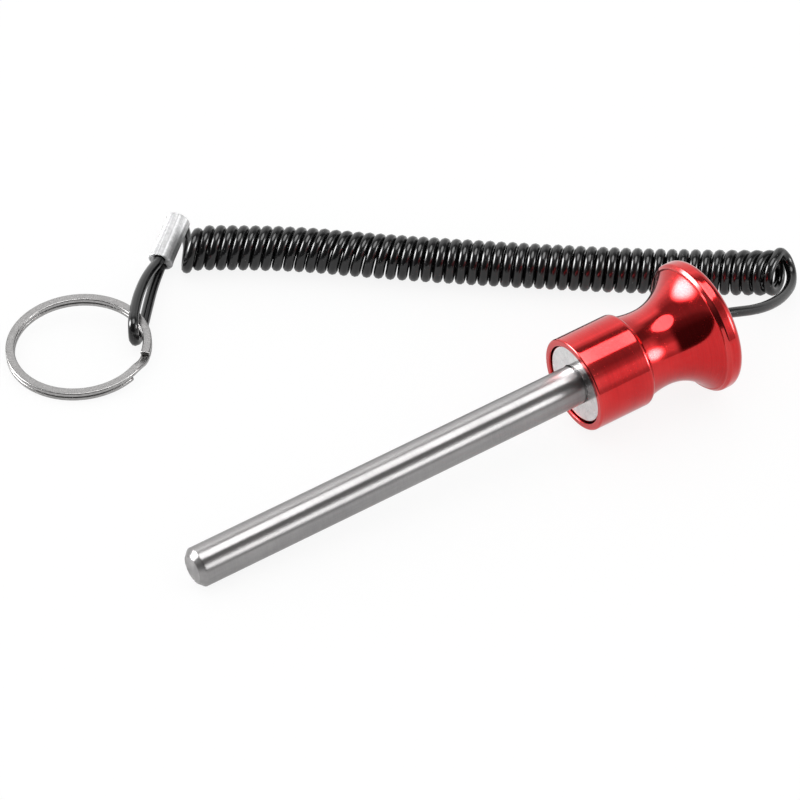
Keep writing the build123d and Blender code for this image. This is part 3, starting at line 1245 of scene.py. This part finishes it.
@dataclass(frozen=True)
class StudioRoom:
    """Plain white room: its floor, its walls' light and the camera.

    Attributes:
        towards_tip: Brightness of the walls on the tip's side, as angles round the pin, in
            degrees, each with a level.
        middle: The same square to the pin.
        towards_knob: The same on the knob's side.
        to_middle: Angles towards the knob over which the middle takes over, in degrees.
        to_knob: Angles over which the knob's side takes over, in degrees.
        level_top: Brightness that a full ramp stands for.
    """

    axis: PinAxis
    floor_half: float = 6.0
    floor_drop: float = 5e-5
    floor_tone: float = 0.86
    floor_glow: float = 1.03
    seen_share: float = 0.85
    mirrored_share: float = 0.35
    towards_tip: Levels = (
        (-20, 0.95), (14, 1.15), (28, 0.80), (40, 0.50), (56, 0.28), (92, 0.30), (112, 0.12), (132, 0.05),
        (172, 0.04), (184, 0.25), (194, 0.80))
    middle: Levels = (
        (-20, 0.90), (6, 1.05), (36, 1.15), (44, 1.35), (52, 0.85), (61, 0.28), (68, 0.20), (112, 0.34),
        (126, 0.30), (138, 0.50), (152, 1.05), (164, 0.95), (176, 0.55), (184, 0.42), (194, 0.80))
    towards_knob: Levels = (
        (-20, 0.75), (44, 0.80), (58, 0.55), (74, 0.14), (98, 0.16), (112, 0.50), (130, 1.0), (150, 1.35),
        (176, 1.15), (196, 1.0))
    to_middle: Pair = (0, 14)
    to_knob: Pair = (32, 44)
    level_top: float = 2.0
    panel_around: Pair = (69.0, 108.5)
    panel_along: Pair = (-8.0, 33.0)
    panel_edge: float = 0.05
    panel_strength: float = 5.2
    lamps: tuple[SoftLight, ...] = (
        SoftLight(around=38, along=-40, core=4, rim=30, strength=25.0),
        SoftLight(around=158, along=46, core=2, rim=20, strength=16.0))
    lamp_falloff: float = 4.0
    lens: float = 209.36
    camera_place: Triple = (-0.47716, -0.72084, 0.71847)
    camera_aim: Triple = (-0.00206, 0.02191, 0.010)

    def wall_level(self, tree: Tree, around: Socket, levels: Levels) -> Socket:
        """Brightness of the walls by the angle round the pin.

        Args:
            tree: The world's node tree.
            around: Angle in degrees.
            levels: Pairs of angle and brightness.

        Returns:
            The brightness.
        """
        first, last = levels[0][0], levels[-1][0]
        place = add_node(tree, "ShaderNodeMapRange", {0: around, 1: first, 2: last}).outputs[0]
        ramp = add_node(tree, "ShaderNodeValToRGB", {"Fac": place})
        ramp.color_ramp.interpolation = "EASE"
        stops = ramp.color_ramp.elements
        for index, (angle, level) in enumerate(levels):
            at = (angle - first) / (last - first)
            stop = stops[index] if index == 0 else stops[-1] if angle == last else stops.new(at)
            stop.position, stop.color = at, (*[level / self.level_top] * 3, 1)
        return math_node(tree, "MULTIPLY", ramp.outputs[0], self.level_top)

    def direction(self, around: float, along: float) -> np.ndarray:
        """Unit vector that is seen at two angles.

        Args:
            around: Angle round the pin's axis, in degrees.
            along: Angle towards the knob, in degrees.

        Returns:
            The vector.
        """
        a, b = math.radians(around), math.radians(along)
        return math.sin(b) * self.axis.along() + math.cos(b) * (
            math.cos(a) * SIDEWAYS + math.sin(a) * self.axis.upward())

    def mirrored_room(self, tree: Tree) -> Socket:
        """Brightness that polished metal shows in each direction: walls, a panel and lamps.

        Args:
            tree: The world's node tree.

        Returns:
            The brightness.
        """
        calc, degrees = partial(math_node, tree), 180 / math.pi
        look = add_node(tree, "ShaderNodeTexCoord").outputs["Generated"]

        def facing(direction: np.ndarray) -> Socket:
            """Cosine of the angle between the look and a direction."""
            return add_node(tree, "ShaderNodeVectorMath", {0: look, 1: tuple(direction)},
                            operation="DOT_PRODUCT").outputs["Value"]

        forward, side, height = (facing(v) for v in (self.axis.along(), SIDEWAYS, self.axis.upward()))
        turned = calc("MULTIPLY", calc("ARCTAN2", height, side), degrees)
        around = calc("ADD", turned, calc("MULTIPLY", calc("LESS_THAN", turned, -90.0), 360.0))
        along = calc("MULTIPLY", calc("ARCSINE", forward), degrees)
        tip, middle, knob = (self.wall_level(tree, around, levels)
                             for levels in (self.towards_tip, self.middle, self.towards_knob))
        walls = fade(tree, tip, middle, smooth_range(tree, along, *self.to_middle))
        walls = fade(tree, walls, knob, smooth_range(tree, along, *self.to_knob))
        offsets = [calc("MULTIPLY_ADD", value, 2 / (high - low), -(high + low) / (high - low))
                   for value, (low, high) in ((around, self.panel_around), (along, self.panel_along))]
        reach = calc("MULTIPLY_ADD", offsets[0], offsets[0], calc("MULTIPLY", offsets[1], offsets[1]))
        panel = smooth_range(tree, reach, 1 + self.panel_edge, 1 - self.panel_edge)
        total = fade(tree, walls, self.panel_strength, panel)
        for lamp in self.lamps:
            rim, core = math.cos(math.radians(lamp.rim)), math.cos(math.radians(lamp.core))
            spot = smooth_range(tree, facing(self.direction(lamp.around, lamp.along)), rim, core)
            total = calc("MULTIPLY_ADD", calc("POWER", spot, self.lamp_falloff), lamp.strength, total)
        return total

    def light(self) -> None:
        """Lights the room: plain white for the camera and matt surfaces, the room for metal."""
        world = bpy.data.worlds.new("white_room")
        bpy.context.scene.world = world
        world.use_nodes = True
        tree = world.node_tree
        tree.nodes.clear()
        seen, mirrored = seen_rays(tree)
        share = math_node(tree, "MULTIPLY", mirrored, math_node(tree, "SUBTRACT", 1.0, seen))
        level = fade(tree, 1.0, self.mirrored_room(tree), share)
        shader = add_node(tree, "ShaderNodeBackground", {"Color": WHITE, "Strength": level})
        add_node(tree, "ShaderNodeOutputWorld", {"Surface": shader.outputs[0]})

    def floor(self) -> None:
        """Lays the pale floor just under the object; it stays white in view and keeps its shadow."""
        half, tone = self.floor_half, self.floor_tone
        mesh = bpy.data.meshes.new("studio_floor")
        mesh.from_pydata([(x * half, y * half, -self.floor_drop) for x, y in ((-1, -1), (1, -1), (1, 1), (-1, 1))],
                         [], [(0, 1, 2, 3)])
        material = bpy.data.materials.new("pale_floor")
        material.use_nodes = True
        tree = material.node_tree
        tree.nodes.clear()
        matt = add_node(tree, "ShaderNodeBsdfDiffuse", {"Color": (tone, tone, tone, 1.0)})
        glow = add_node(tree, "ShaderNodeEmission", {"Color": WHITE, "Strength": self.floor_glow})
        seen, mirrored = seen_rays(tree)
        share = math_node(tree, "MAXIMUM", math_node(tree, "MULTIPLY", seen, self.seen_share),
                          math_node(tree, "MULTIPLY", mirrored, self.mirrored_share))
        both = add_node(tree, "ShaderNodeMixShader", {0: share, 1: matt.outputs[0], 2: glow.outputs[0]})
        add_node(tree, "ShaderNodeOutputMaterial", {"Surface": both.outputs[0]})
        mesh.materials.append(material)
        put("studio_floor", mesh)

    def camera(self) -> None:
        """Places the camera with a long lens, level with the horizon."""
        data = bpy.data.cameras.new("studio_camera")
        data.lens = self.lens
        data.sensor_width = 36.0
        data.clip_start, data.clip_end = 0.01, 50.0
        camera = put("studio_camera", data)
        camera.location = self.camera_place
        aim = Vector(self.camera_aim) - Vector(self.camera_place)
        camera.rotation_euler = aim.to_track_quat("-Z", "Y").to_euler()
        bpy.context.scene.camera = camera


def main() -> None:
    """Builds every piece in order, then the studio."""
    logging.basicConfig(level=logging.INFO, format="%(name)s: %(message)s")
    eye = next(mount for mount in frame["record"]["mounts"] if mount["name"] == "ring_eye")
    axis, sleeve, effects = PinAxis(), CrimpSleeve(), SharedEffects()
    aluminium = DrawnAluminium().build(effects)

    def log(piece: Piece) -> Piece:
        """Logs a piece that is made."""
        LOG.info("%s made", piece.name)
        return piece

    log(Magnet(axis).make(PlatedMagnet().build(effects)))
    log(SelectorPin(axis).make(GroundSteel().build(effects)))
    log(Knob(axis).make(AnodisedRed().build(effects)))
    far_pieces = [log(sleeve.make(aluminium)),
                  log(SplitRing(tuple(eye["pos_m"]), tuple(eye["axis"])).make(NickelRing().build(effects)))]
    log(Lanyard(axis, sleeve).make(BlackCord().build(effects), far_pieces))
    stop = frame["nodes"]["cord_stop"]
    stop.data.materials.clear()
    stop.data.materials.append(aluminium)
    studio = StudioRoom(axis)
    studio.floor()
    studio.light()
    studio.camera()
    bpy.context.scene.view_settings.view_transform = "Standard"


if __name__ == "__main__":
    main()
